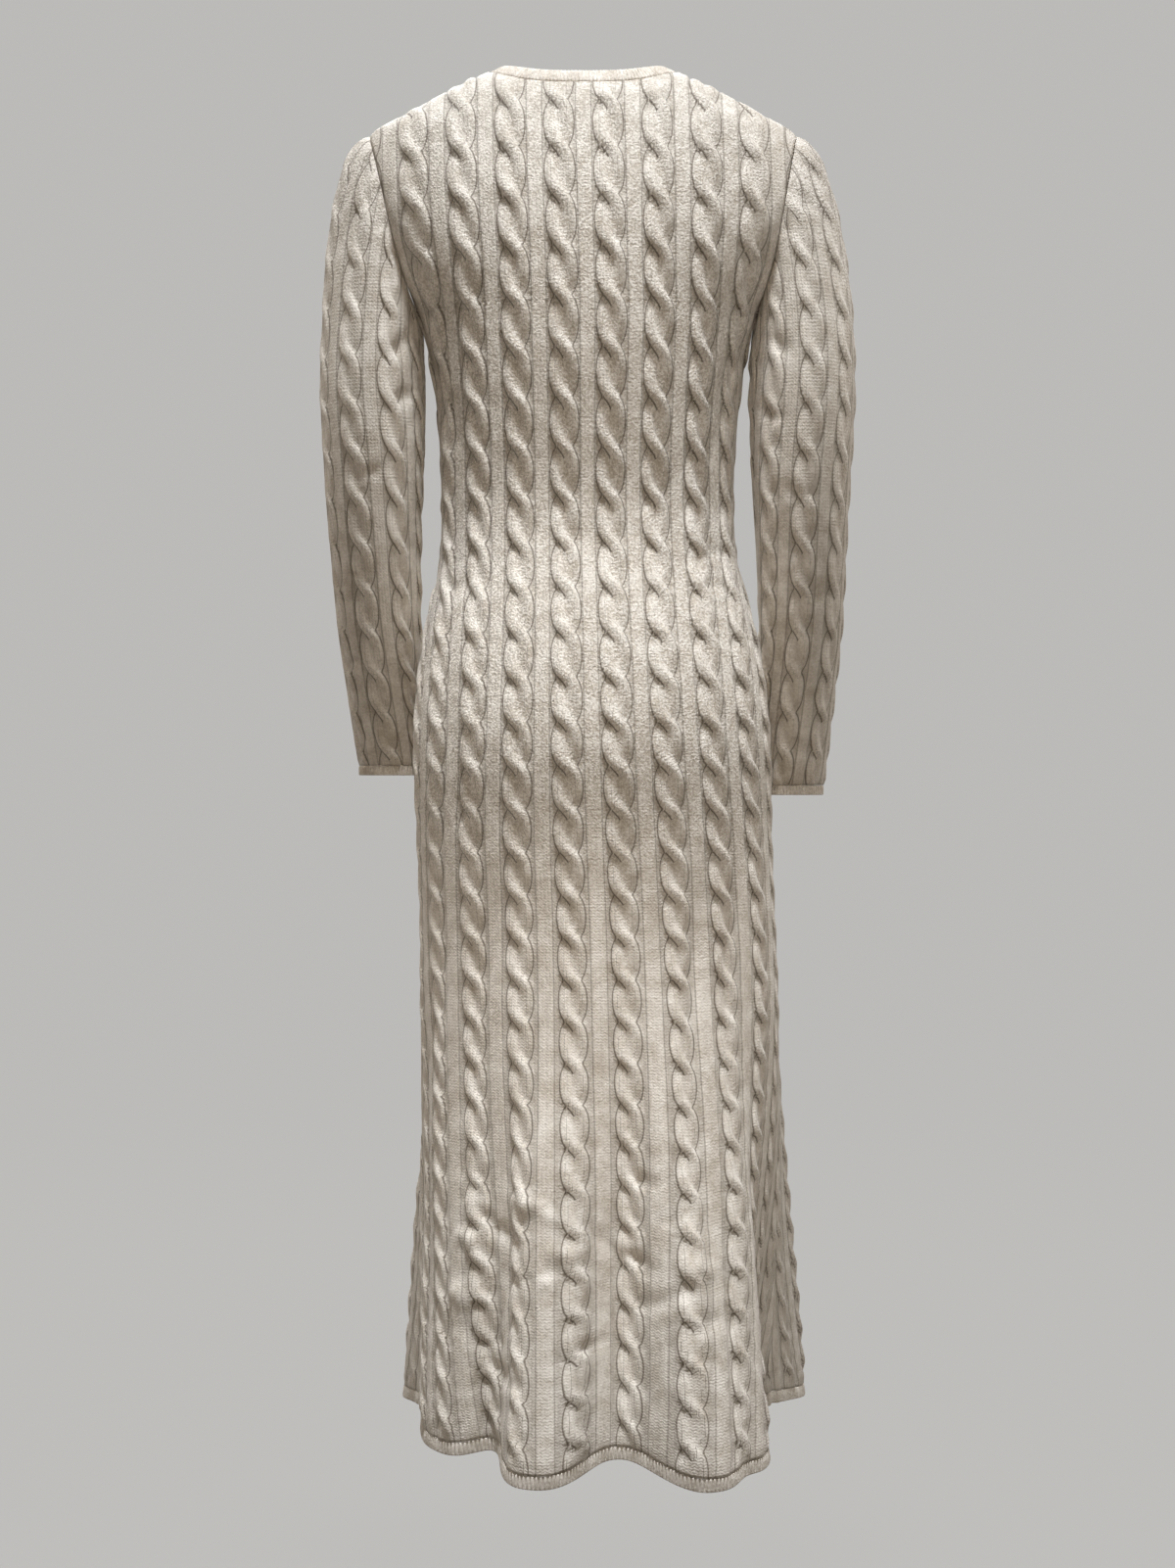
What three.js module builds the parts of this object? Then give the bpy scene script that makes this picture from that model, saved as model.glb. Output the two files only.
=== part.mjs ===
// A long-sleeved cable-knit sweater dress, hollow and filled out as it is worn.
// Millimetres, +Z up. The wearer would face -Y, so the back panel is on the +Y side, and +X is
// the wearer's left. The origin lies midway between the two points where the neckband meets the
// shoulder seams, which is where a wearer's shoulders carry the dress.
//
// The knitter's pieces are a back, a front, two sleeves, a neckband, a hem band and two cuff
// bands. Each is a thin wall of its own, and neighbours stand SEAM_GAP apart along each seam.
import * as THREE from "three";

// ---- driving sizes -------------------------------------------------------------------------
const CLOTH = 3; // wall of the cable knit
const SEAM_GAP = 0.3; // between two pieces that are sewn together
const HEM_Z = -1197; // lower edge of the hem band
const HEM_BAND = 11; // height of the hem band
const HIP_Z = -600; // fullest part of the hips
const CUFF_BAND = 9; // height of a cuff band
const NECKBAND = 12; // height of the neckband
const NECK_HALF = 84; // half the neck opening's width, at the shoulder seams
const BACK_NECK_DROP = 21; // centre back of the neckline, below the origin
const FRONT_NECK_DROP = 86; // centre front of the neckline, below the origin
const BACK_NECK_ROUND = 3.2; // power of the back neckline: high stays flat for longer
const FRONT_NECK_ROUND = 2.5;
const SHOULDER_Z = -56; // shoulder point, where the seam meets the top of the armhole
const UNDERARM_Z = -219; // lowest point of the armhole

// Horizontal sections of the body. A section is half a rounded oval at the back and half at the
// front: "half" is half its width, "back" and "front" are its depths, and "lean" is how far it
// hangs off the centre line. Above the underarm the oval runs on past the armhole, to the
// shoulder ridge, and the panels stop at the armhole.
const BODY = [
  { z: 0, half: NECK_HALF, back: 40, front: 36, lean: 4 },
  { z: -20, half: 127, back: 56, front: 52, lean: 4 },
  { z: -38, half: 160, back: 65, front: 61, lean: 4 },
  { z: -56, half: 191, back: 72, front: 69, lean: 4 },
  { z: -100, half: 201, back: 84, front: 88, lean: 3 },
  { z: -140, half: 196, back: 90, front: 103, lean: 2 },
  { z: -180, half: 176, back: 92, front: 114, lean: 1 },
  { z: -219, half: 151, back: 92, front: 121, lean: 0 },
  { z: -270, half: 139, back: 89, front: 123, lean: 0 },
  { z: -330, half: 132, back: 82, front: 111, lean: 0 },
  { z: -390, half: 130, back: 76, front: 98, lean: 0 },
  { z: -440, half: 133, back: 84, front: 98, lean: -1 },
  { z: -490, half: 145, back: 102, front: 102, lean: -2 },
  { z: -540, half: 154, back: 117, front: 106, lean: -3 },
  { z: -600, half: 159, back: 126, front: 108, lean: -4 },
  { z: -680, half: 158, back: 121, front: 109, lean: -6 },
  { z: -760, half: 158, back: 119, front: 112, lean: -9 },
  { z: -850, half: 160, back: 129, front: 122, lean: -11 },
  { z: -960, half: 163, back: 148, front: 139, lean: -13 },
  { z: -1080, half: 164, back: 174, front: 161, lean: -13 },
  { z: -1200, half: 165, back: 205, front: 182, lean: -12 },
];
const OVAL = 2.2; // power of the oval: 2 is an ellipse, and more is squarer

// Where the armhole cuts the body: "reach" is the armhole's distance from the centre line.
const ARMHOLE = [
  { z: -56, reach: 191 },
  { z: -100, reach: 181 },
  { z: -140, reach: 173 },
  { z: -180, reach: 164 },
  { z: -219, reach: 151 },
];

// Folds of the flared skirt. "at" is the place round the body, 0 at the centre back, 1 at the
// wearer's left side seam, -1 at the right one and 2 at the centre front. "spread" is the fold's
// half width in the same shares, "reach" how far its hem stands out (or in, where negative), and
// "top" the height at which the fold starts.
const FOLDS = [
  { at: 0.17, spread: 0.13, reach: 34, top: -840 },
  { at: 0.35, spread: 0.08, reach: -20, top: -860 },
  { at: 0.55, spread: 0.14, reach: 8, top: -900 },
  { at: 0.9, spread: 0.14, reach: -6, top: -820 },
  { at: 1.3, spread: 0.17, reach: 30, top: -760 },
  { at: 1.53, spread: 0.11, reach: -18, top: -760 },
  { at: 1.74, spread: 0.13, reach: 24, top: -840 },
  { at: 1.93, spread: 0.1, reach: -14, top: -860 },
  { at: -1.88, spread: 0.12, reach: 20, top: -780 },
  { at: -1.67, spread: 0.1, reach: -18, top: -820 },
  { at: -1.36, spread: 0.2, reach: 46, top: -720 },
  { at: -0.77, spread: 0.24, reach: -36, top: -820 },
  { at: -0.47, spread: 0.09, reach: 30, top: -820 },
  { at: -0.27, spread: 0.12, reach: 44, top: -780 },
  { at: -0.04, spread: 0.11, reach: -20, top: -800 },
];
const FOLD_ROUND = 2.6; // 2 is a bell curve, and more is a flatter crest with steeper sides
const FOLD_DROOP = 0.25; // how far a fold's hem hangs down, for each millimetre it stands out
const FOLD_GROWTH = 1.25; // power of a fold's growth from its top to the hem

// Sections of an arm inside its sleeve: centre, and half sizes across and front to back.
const ARM = [
  { z: -60, x: 190, y: 0, across: 47, deep: 53 },
  { z: -215, x: 191, y: 2, across: 46.5, deep: 53 },
  { z: -286, x: 191.5, y: 4, across: 47, deep: 51 },
  { z: -356, x: 191.5, y: 3, across: 43.5, deep: 46 },
  { z: -427, x: 191.5, y: -5, across: 39.5, deep: 42 },
  { z: -498, x: 190.5, y: -19, across: 36.5, deep: 38.5 },
  { z: -551, x: 188, y: -33, across: 33.5, deep: 35.5 },
  { z: -604, x: 185.5, y: -46, across: 30, deep: 32.5 },
  { z: -650, x: 183, y: -56, across: 27, deep: 29.5 },
];
const CAP_ROUND = 200; // height over which the sleeve cap rounds out from the armhole
const SLEEVES = [
  { side: "left", sign: 1, cuff: -628 },
  { side: "right", sign: -1, cuff: -646 },
];

// Facets of each piece. The armhole's columns on a sleeve are shared with the panels' rows.
const PANEL_HALF_COLUMNS = 12; // from the centre of a panel to its edge
const NECK_COLUMNS = 6; // of those, from the centre to the neckband's end
const STRAIGHT_COLUMNS_Z = -130; // above here a column keeps its share of the panel's width
const BODICE_ROWS = 8; // from the underarm to the hip
const SKIRT_ROWS = 9; // from the hip to the hem band
const SLEEVE_COLUMNS = 20;
const SLEEVE_ROWS = 16;

const CAP_ROW_POWER = 1.25; // rows of a sleeve lie closer together near the armhole

const OATMEAL = 0xc9c0b1;

// ---- small helpers -------------------------------------------------------------------------
const clamp01 = (t) => Math.min(1, Math.max(0, t));
const mix = (a, b, t) => a + (b - a) * t;
const smooth = (t) => clamp01(t) ** 2 * (3 - 2 * clamp01(t));

// One column of a table at height z, on a smooth curve through the rows. Rows run downwards.
function read(table, column, z) {
  const last = table.length - 1;
  const at = table.findIndex((row) => row.z <= z);
  const i = Math.min(last, Math.max(1, at < 0 ? last : at));
  const slope = (k) => {
    const a = table[Math.max(0, k - 1)];
    const b = table[Math.min(last, k + 1)];
    return (b[column] - a[column]) / (b.z - a.z);
  };
  const [top, low] = [table[i - 1], table[i]];
  const span = low.z - top.z;
  const t = clamp01((z - top.z) / span);
  return (
    top[column] * (1 + 2 * t) * (1 - t) ** 2 +
    slope(i - 1) * span * t * (1 - t) ** 2 +
    low[column] * t ** 2 * (3 - 2 * t) +
    slope(i) * span * t ** 2 * (t - 1)
  );
}

// ---- the body's form -----------------------------------------------------------------------
const SHOULDER_REACH = read(ARMHOLE, "reach", SHOULDER_Z);

// A column's share of the panel's width at the shoulder, closer together where the neck turns.
function shoulderShare(count) {
  const neck = NECK_HALF / SHOULDER_REACH;
  if (count <= NECK_COLUMNS) return neck * Math.sin((Math.PI / 2) * (count / NECK_COLUMNS));
  return mix(neck, 1, (count - NECK_COLUMNS) / (PANEL_HALF_COLUMNS - NECK_COLUMNS));
}

// Depth of a section at distance x from its centre line.
function depthAt(x, z, face) {
  const share = clamp01(x / read(BODY, "half", z));
  return read(BODY, face, z) * (1 - share ** OVAL) ** (1 / OVAL);
}

// The point of a section that is "share" of the way round from its centre to x = reach.
const ARC_STEPS = 24;
function alongArc(share, z, face, reach) {
  const half = read(BODY, "half", z);
  const deep = read(BODY, face, z);
  const angleAtReach = Math.asin(clamp01(reach / half) ** (OVAL / 2));
  const points = Array.from({ length: ARC_STEPS + 1 }, (_, i) => {
    const angle = (angleAtReach * i) / ARC_STEPS;
    return [half * Math.sin(angle) ** (2 / OVAL), deep * Math.cos(angle) ** (2 / OVAL)];
  });
  const lengths = [0];
  for (let i = 1; i <= ARC_STEPS; i++) {
    const [a, b] = [points[i - 1], points[i]];
    lengths.push(lengths[i - 1] + Math.hypot(b[0] - a[0], b[1] - a[1]));
  }
  const wanted = share * lengths[ARC_STEPS];
  const i = Math.min(ARC_STEPS, Math.max(1, lengths.findIndex((l) => l >= wanted)));
  const t = (wanted - lengths[i - 1]) / (lengths[i] - lengths[i - 1]);
  return mix(points[i - 1][0], points[i][0], t);
}

// Height of a panel's top edge: the neckline near the centre, then the shoulder ridge.
function topEdge(x, face) {
  if (x < NECK_HALF) {
    const [drop, round] =
      face === "back"
        ? [BACK_NECK_DROP, BACK_NECK_ROUND]
        : [FRONT_NECK_DROP, FRONT_NECK_ROUND];
    return -drop * (1 - (x / NECK_HALF) ** round);
  }
  let [high, low] = [0, SHOULDER_Z];
  for (let i = 0; i < 30; i++) {
    const middle = (high + low) / 2;
    if (read(BODY, "half", middle) < x) high = middle;
    else low = middle;
  }
  return (high + low) / 2;
}

// How far the skirt's folds push the cloth out at a place round the body.
const WHOLE_ROUND = 4; // shares round the body
function foldReach(place, z) {
  return FOLDS.reduce((sum, fold) => {
    const grown = clamp01((z - fold.top) / (HEM_Z - fold.top)) ** FOLD_GROWTH;
    const turned = (place - fold.at + 1.5 * WHOLE_ROUND) % WHOLE_ROUND;
    const away = turned - WHOLE_ROUND / 2;
    return sum + fold.reach * grown * Math.exp(-((Math.abs(away) / fold.spread) ** FOLD_ROUND));
  }, 0);
}

// A point on the outside of a panel. "column" counts from the centre, to the wearer's left, and
// "level" is the height that the panel's outer edge has in this row. Below the arms the columns
// share the panel's arc out evenly, and at the shoulder they gather towards the neck's ends.
function panelPoint(column, level, face) {
  const straight = smooth((level - UNDERARM_Z) / (STRAIGHT_COLUMNS_Z - UNDERARM_Z));
  const count = Math.abs(column);
  const c = mix(count / PANEL_HALF_COLUMNS, shoulderShare(count), straight);
  const above = level > UNDERARM_Z;
  const edge = above ? read(ARMHOLE, "reach", level) : read(BODY, "half", level);
  const lift = smooth((level - UNDERARM_Z) / (SHOULDER_Z - UNDERARM_Z));
  const z = level + lift * (topEdge(c * SHOULDER_REACH, face) - SHOULDER_Z);
  const arcEdge = Math.min(edge, read(BODY, "half", z));
  const x = mix(alongArc(c, z, face, arcEdge), c * edge, straight);
  const y = depthAt(x, z, face);
  const side = Math.sign(column) || 1;
  const reach = foldReach(side * (face === "back" ? c : 2 - c), z);
  const push = reach / Math.hypot(x, y);
  const seamed = y * (1 + push) + SEAM_GAP / 2;
  return new THREE.Vector3(
    side * (x * (1 + push) - (above && c === 1 ? SEAM_GAP : 0)) + read(BODY, "lean", z),
    face === "back" ? seamed : -seamed,
    z - reach * FOLD_DROOP,
  );
}

// ---- the sleeve's form ---------------------------------------------------------------------
// Height on the armhole at an angle round it: 0 at the shoulder point, half a turn underarm.
const armholeLevel = (angle) =>
  (SHOULDER_Z + UNDERARM_Z) / 2 + ((SHOULDER_Z - UNDERARM_Z) / 2) * Math.cos(angle);

// The armhole's edge, with a quarter turn at the middle of the back.
function armholePoint(angle) {
  const z = armholeLevel(angle);
  const x = read(ARMHOLE, "reach", z);
  const back = Math.sin(angle) >= 0;
  const y = depthAt(x, z, back ? "back" : "front");
  return new THREE.Vector3(x + SEAM_GAP, back ? y : -y, z);
}

// The way through both walls at the armhole seam, towards the middle of the armhole.
const armholeInward = (angle) => new THREE.Vector3(0, -Math.sin(angle), -Math.cos(angle));

// A point on the outside of a sleeve, "down" from 0 at the armhole to 1 at the cuff band.
function sleevePoint(angle, down, sleeve) {
  const start = armholePoint(angle);
  const z = mix(start.z, sleeve.cuff + CUFF_BAND, down);
  const out = clamp01((start.z - z) / CAP_ROUND);
  const rounding = Math.sqrt(1 - (1 - out) ** 2);
  const x = mix(start.x, read(ARM, "x", z) + read(ARM, "across", z) * Math.cos(angle), rounding);
  const y = mix(start.y, read(ARM, "y", z) + read(ARM, "deep", z) * Math.sin(angle), rounding);
  return new THREE.Vector3(sleeve.sign * x + read(BODY, "lean", z), y, z);
}

// ---- walls ---------------------------------------------------------------------------------
// A piece is an outer and an inner grid of points, each a list of rows from the top down. A row
// runs so that the outside is on its left when seen from above, and with "ring" it closes.
const grid = (rows, columns, pointAt) => rows.map((row) => columns.map((c) => pointAt(c, row)));

// The inner grid: each outer point moved through the cloth, square to its neighbours. A seam's
// own direction, where seamInward gives one, stands instead.
function innerGrid(outer, ring, seamInward) {
  const last = outer.length - 1;
  const columns = outer[0].length;
  const end = columns - 1;
  return outer.map((row, r) =>
    row.map((point, c) => {
      const next = ring ? row[(c + 1) % columns] : row[Math.min(end, c + 1)];
      const before = ring ? row[(c + end) % columns] : row[Math.max(0, c - 1)];
      const along = next.clone().sub(before);
      const down = outer[Math.min(last, r + 1)][c].clone().sub(outer[Math.max(0, r - 1)][c]);
      const inward = along.cross(down).normalize().negate();
      const chosen = seamInward ? seamInward(r, c, inward) : inward;
      return point.clone().addScaledVector(chosen, CLOTH);
    }),
  );
}

// A closed wall between the two grids of a piece.
function wall(name, { outer, inner, ring }) {
  const [rows, columns] = [outer.length, outer[0].length];
  const positions = [...outer.flat(), ...inner.flat()].flatMap((p) => p.toArray());
  const outside = (r, c) => r * columns + (c % columns);
  const inside = (r, c) => rows * columns + outside(r, c);
  const index = [];
  const quad = (a, b, c, d) => index.push(a, b, c, a, c, d);
  const spans = ring ? columns : columns - 1;
  const end = columns - 1;
  for (let c = 0; c < spans; c++) {
    for (let r = 0; r < rows - 1; r++) {
      quad(outside(r, c), outside(r, c + 1), outside(r + 1, c + 1), outside(r + 1, c));
      quad(inside(r, c), inside(r + 1, c), inside(r + 1, c + 1), inside(r, c + 1));
    }
    quad(outside(0, c), inside(0, c), inside(0, c + 1), outside(0, c + 1));
    const r = rows - 1;
    quad(outside(r, c), outside(r, c + 1), inside(r, c + 1), inside(r, c));
  }
  for (let r = 0; r < rows - 1 && !ring; r++) {
    quad(outside(r, 0), outside(r + 1, 0), inside(r + 1, 0), inside(r, 0));
    quad(outside(r, end), inside(r, end), inside(r + 1, end), outside(r + 1, end));
  }
  const geometry = new THREE.BufferGeometry();
  geometry.setAttribute("position", new THREE.Float32BufferAttribute(positions, 3));
  geometry.setIndex(index);
  const wool = new THREE.MeshStandardMaterial({ color: OATMEAL, roughness: 0.9, metalness: 0 });
  const mesh = new THREE.Mesh(geometry, wool);
  mesh.name = name;
  return mesh;
}

// ---- back and front ------------------------------------------------------------------------
const steps = (from, to, count) =>
  Array.from({ length: count + 1 }, (_, i) => mix(from, to, i / count));

const ARMHOLE_ROWS = SLEEVE_COLUMNS / 2;
const levels = [
  ...steps(0, Math.PI, ARMHOLE_ROWS).map(armholeLevel),
  ...steps(UNDERARM_Z, HIP_Z, BODICE_ROWS).slice(1),
  ...steps(HIP_Z, HEM_Z + HEM_BAND, SKIRT_ROWS).slice(1),
];
const columnsAcross = steps(-PANEL_HALF_COLUMNS, PANEL_HALF_COLUMNS, 2 * PANEL_HALF_COLUMNS);

// The way through both walls at a shoulder seam.
function shoulderInward(x) {
  const out = Math.abs(x);
  const slope = topEdge(out + 1, "back") - topEdge(out, "back");
  return new THREE.Vector3(Math.sign(x) * slope, 0, -1).normalize();
}

function panel(face) {
  const columns = face === "back" ? columnsAcross : columnsAcross.toReversed();
  const outer = grid(levels, columns, (column, level) => panelPoint(column, level, face));
  const turn = face === "back" ? 1 : -1;
  const inner = innerGrid(outer, false, (r, c, inward) => {
    const count = Math.abs(columns[c]);
    const atSide = count === PANEL_HALF_COLUMNS;
    if (atSide && r < ARMHOLE_ROWS) {
      return armholeInward((turn * Math.PI * r) / ARMHOLE_ROWS);
    }
    if (r === 0 && count >= NECK_COLUMNS) {
      return shoulderInward(Math.sign(columns[c]) * shoulderShare(count) * SHOULDER_REACH);
    }
    return atSide ? inward.setY(0).normalize() : inward;
  });
  return { outer, inner, ring: false };
}

// ---- sleeves -------------------------------------------------------------------------------
function sleevePiece(sleeve) {
  const angles = steps(0, 2 * Math.PI, SLEEVE_COLUMNS)
    .slice(0, SLEEVE_COLUMNS)
    .map((angle) => -sleeve.sign * angle);
  const downs = steps(0, 1, SLEEVE_ROWS).map((t) => t ** CAP_ROW_POWER);
  const outer = grid(downs, angles, (angle, down) => sleevePoint(angle, down, sleeve));
  const inner = innerGrid(outer, true, (r, c, inward) =>
    r === 0 ? armholeInward(angles[c]) : inward,
  );
  return { outer, inner, ring: true };
}

// ---- bands ---------------------------------------------------------------------------------
// A narrow band that goes on from an edge of other pieces: "edge" is the edge's outer and inner
// points, and "away" gives the band's direction at a point.
function band(edge, height, away) {
  const rowAt = (points, distance) =>
    points.map((point) => point.clone().addScaledVector(away(point), distance));
  const near = [rowAt(edge.outer, SEAM_GAP), rowAt(edge.inner, SEAM_GAP)];
  const far = [rowAt(edge.outer, height), rowAt(edge.inner, height)];
  const upwards = away(edge.outer[0]).z > 0;
  const [top, low] = upwards ? [far, near] : [near, far];
  return { outer: [top[0], low[0]], inner: [top[1], low[1]], ring: true };
}

const downwards = () => new THREE.Vector3(0, 0, -1);

// The neckband follows the slope of the shoulders at its ends and stands up in the middle.
function alongNeck(point) {
  const x = point.x - read(BODY, "lean", point.z);
  const share = clamp01(Math.abs(x) / NECK_HALF) ** 2;
  const slope = new THREE.Vector3(-0.92 * Math.sign(x), 0, 0.38);
  const upright = new THREE.Vector3(0, -0.35 * Math.sign(point.y), 0.94);
  return upright.lerp(slope, share).normalize();
}

// One row of both panels as a ring, from the wearer's right side seam round the back.
function ringOf(pieces, row, from, to) {
  const half = (part) => pieces.flatMap((piece) => piece[part].at(row).slice(from, to));
  return { outer: half("outer"), inner: half("inner") };
}

// ---- the dress -----------------------------------------------------------------------------
const dress = new THREE.Group();
const panels = { back: panel("back"), front: panel("front") };
for (const [name, piece] of Object.entries(panels)) dress.add(wall(name, piece));
for (const sleeve of SLEEVES) {
  const piece = sleevePiece(sleeve);
  const cuffEdge = { outer: piece.outer.at(-1), inner: piece.inner.at(-1) };
  dress.add(wall(`sleeve_${sleeve.side}`, piece));
  dress.add(wall(`cuff_${sleeve.side}`, band(cuffEdge, CUFF_BAND, downwards)));
}
const bothPanels = Object.values(panels);
const [neckStart, neckEnd] = [-NECK_COLUMNS, NECK_COLUMNS].map((c) => c + PANEL_HALF_COLUMNS);
const neckEdge = ringOf(bothPanels, 0, neckStart, neckEnd);
const hemEdge = ringOf(bothPanels, -1, 0, columnsAcross.length - 1);
dress.add(wall("neckband", band(neckEdge, NECKBAND, alongNeck)));
dress.add(wall("hem_band", band(hemEdge, HEM_BAND, downwards)));

export default dress;
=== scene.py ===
# %% [markdown]
# # A cable-knit sweater dress
#
# The real thing is a worn, filled-out dress in a thick oatmeal yarn: rope cables run from the
# shoulders to the hem with a plain rib between each two. A plain form already stands in the
# frame, as thin walls at the right size. This notebook lays knitted cloth on that form, piece by
# piece: back, front, two sleeves, a neckband, a hem band and two cuff bands.

import bmesh
import bpy
import numpy as np
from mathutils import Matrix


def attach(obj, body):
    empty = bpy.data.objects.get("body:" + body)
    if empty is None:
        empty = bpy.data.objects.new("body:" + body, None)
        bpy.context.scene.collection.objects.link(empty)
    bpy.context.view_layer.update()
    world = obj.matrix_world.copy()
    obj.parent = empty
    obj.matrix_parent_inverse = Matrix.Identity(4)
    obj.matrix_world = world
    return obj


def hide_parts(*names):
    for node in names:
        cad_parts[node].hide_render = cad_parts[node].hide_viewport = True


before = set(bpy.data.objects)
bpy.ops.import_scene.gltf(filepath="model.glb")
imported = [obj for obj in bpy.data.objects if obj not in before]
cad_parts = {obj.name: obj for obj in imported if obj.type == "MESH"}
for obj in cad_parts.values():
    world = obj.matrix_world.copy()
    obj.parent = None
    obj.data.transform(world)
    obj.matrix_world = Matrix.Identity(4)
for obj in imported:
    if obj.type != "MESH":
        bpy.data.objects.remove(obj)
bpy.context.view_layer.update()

# %% [markdown]
# ## Camera
#
# The dress is seen straight on from behind, from the height of the middle of the dress. The
# camera is close enough for the near part of the hem to show lower than its sides. Width and
# height of the view come from its distance and from how much of the dress's length it takes in.

# %% Camera
MM = 0.001
VIEW_DISTANCE = 2200 * MM
VIEW_HEIGHT = -636 * MM
VIEW_TALL = 1409 * MM  # what the frame's height takes in, at the middle of the dress
SENSOR = 24.0

camera_data = bpy.data.cameras.new("camera")
camera_data.sensor_fit = "VERTICAL"
camera_data.sensor_height = SENSOR
camera_data.lens = SENSOR * VIEW_DISTANCE / VIEW_TALL
camera = bpy.data.objects.new("camera", camera_data)
camera.location = (0, VIEW_DISTANCE, VIEW_HEIGHT)
camera.rotation_euler = (np.pi / 2, 0, np.pi)
bpy.context.collection.objects.link(camera)
bpy.context.scene.camera = camera
print("lens in millimetres", round(camera_data.lens, 1))

# %% [markdown]
# ## The form under the knit
#
# The cloth has to lie on the same form as the frame's walls, but far finer than they are drawn.
# Subdividing those walls would round their seams off, so the form is worked out again from the
# same short tables: sections of the body, the armhole, an arm, and the folds of the skirt.
# Everything here is in millimetres, and numpy works out a whole grid of points at once.

# %% Sections of the body and the armhole
NECK_HALF = 84
BACK_NECK = {"drop": 21, "round": 3.2}
FRONT_NECK = {"drop": 86, "round": 2.5}
SHOULDER_Z, UNDERARM_Z = -56, -219
HEM_Z, HEM_BAND = -1197, 11
SEAM_GAP = 0.3
CLOTH = 2.6
OVAL = 2.2

BODY = [
    dict(z=0, half=NECK_HALF, back=40, front=36, lean=4),
    dict(z=-20, half=127, back=56, front=52, lean=4),
    dict(z=-38, half=160, back=65, front=61, lean=4),
    dict(z=-56, half=191, back=72, front=69, lean=4),
    dict(z=-100, half=201, back=84, front=88, lean=3),
    dict(z=-140, half=196, back=90, front=103, lean=2),
    dict(z=-180, half=176, back=92, front=114, lean=1),
    dict(z=-219, half=151, back=92, front=121, lean=0),
    dict(z=-270, half=139, back=89, front=123, lean=0),
    dict(z=-330, half=132, back=82, front=111, lean=0),
    dict(z=-390, half=130, back=76, front=98, lean=0),
    dict(z=-440, half=133, back=84, front=98, lean=-1),
    dict(z=-490, half=145, back=102, front=102, lean=-2),
    dict(z=-540, half=154, back=117, front=106, lean=-3),
    dict(z=-600, half=159, back=126, front=108, lean=-4),
    dict(z=-680, half=158, back=121, front=109, lean=-6),
    dict(z=-760, half=158, back=119, front=112, lean=-9),
    dict(z=-850, half=160, back=129, front=122, lean=-11),
    dict(z=-960, half=163, back=148, front=139, lean=-13),
    dict(z=-1080, half=164, back=174, front=161, lean=-13),
    dict(z=-1200, half=165, back=205, front=182, lean=-12),
]
ARMHOLE = [
    dict(z=-56, reach=191),
    dict(z=-100, reach=181),
    dict(z=-140, reach=173),
    dict(z=-180, reach=164),
    dict(z=-219, reach=151),
]


def read(table, column, z):
    """One column of a table at heights z, on a smooth curve through its rows."""
    heights = np.array([row["z"] for row in table], float)
    values = np.array([row[column] for row in table], float)
    last = len(table) - 1
    after = np.minimum(np.arange(last + 1) + 1, last)
    before = np.maximum(np.arange(last + 1) - 1, 0)
    slopes = (values[after] - values[before]) / (heights[after] - heights[before])
    z = np.asarray(z, float)
    i = np.clip(np.searchsorted(-heights, -z), 1, last)
    span = heights[i] - heights[i - 1]
    t = np.clip((z - heights[i - 1]) / span, 0, 1)
    return (
        values[i - 1] * (1 + 2 * t) * (1 - t) ** 2
        + slopes[i - 1] * span * t * (1 - t) ** 2
        + values[i] * t**2 * (3 - 2 * t)
        + slopes[i] * span * t**2 * (t - 1)
    )


def smooth(t):
    """A soft step from 0 to 1."""
    t = np.clip(t, 0, 1)
    return t * t * (3 - 2 * t)


def mix(a, b, t):
    return a + (b - a) * t


def depth_at(x, z, face):
    """Depth of the body's section at height z, a distance x from its centre."""
    share = np.clip(x / read(BODY, "half", z), 0, 1)
    return read(BODY, face, z) * (1 - share**OVAL) ** (1 / OVAL)


print("waist half width", float(read(BODY, "half", -390)))

# %% Folds of the flared skirt
# "at" is the place round the body: 0 at the centre back, 1 at the wearer's left side seam, -1 at
# the right one and 2 at the centre front. The folds are uneven, as a hanging knit's are.
FOLDS = [
    dict(at=0.17, spread=0.13, reach=34, top=-840),
    dict(at=0.35, spread=0.08, reach=-20, top=-860),
    dict(at=0.55, spread=0.14, reach=8, top=-900),
    dict(at=0.9, spread=0.14, reach=-6, top=-820),
    dict(at=1.3, spread=0.17, reach=30, top=-760),
    dict(at=1.53, spread=0.11, reach=-18, top=-760),
    dict(at=1.74, spread=0.13, reach=24, top=-840),
    dict(at=1.93, spread=0.1, reach=-14, top=-860),
    dict(at=-1.88, spread=0.12, reach=20, top=-780),
    dict(at=-1.67, spread=0.1, reach=-18, top=-820),
    dict(at=-1.36, spread=0.2, reach=46, top=-720),
    dict(at=-0.77, spread=0.24, reach=-36, top=-820),
    dict(at=-0.47, spread=0.09, reach=30, top=-820),
    dict(at=-0.27, spread=0.12, reach=44, top=-780),
    dict(at=-0.04, spread=0.11, reach=-20, top=-800),
]
FOLD_ROUND, FOLD_DROOP, FOLD_GROWTH = 2.6, 0.25, 1.25
WHOLE_ROUND = 4


def fold_reach(place, z):
    """How far the skirt's folds push the cloth out."""
    reach = np.zeros(np.broadcast(place, z).shape)
    for fold in FOLDS:
        grown = np.clip((z - fold["top"]) / (HEM_Z - fold["top"]), 0, 1) ** FOLD_GROWTH
        away = (place - fold["at"] + 1.5 * WHOLE_ROUND) % WHOLE_ROUND - WHOLE_ROUND / 2
        reach = reach + fold["reach"] * grown * np.exp(
            -((np.abs(away) / fold["spread"]) ** FOLD_ROUND)
        )
    return reach


print("hem reach at the centre back", float(fold_reach(0.0, HEM_Z)))

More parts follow.
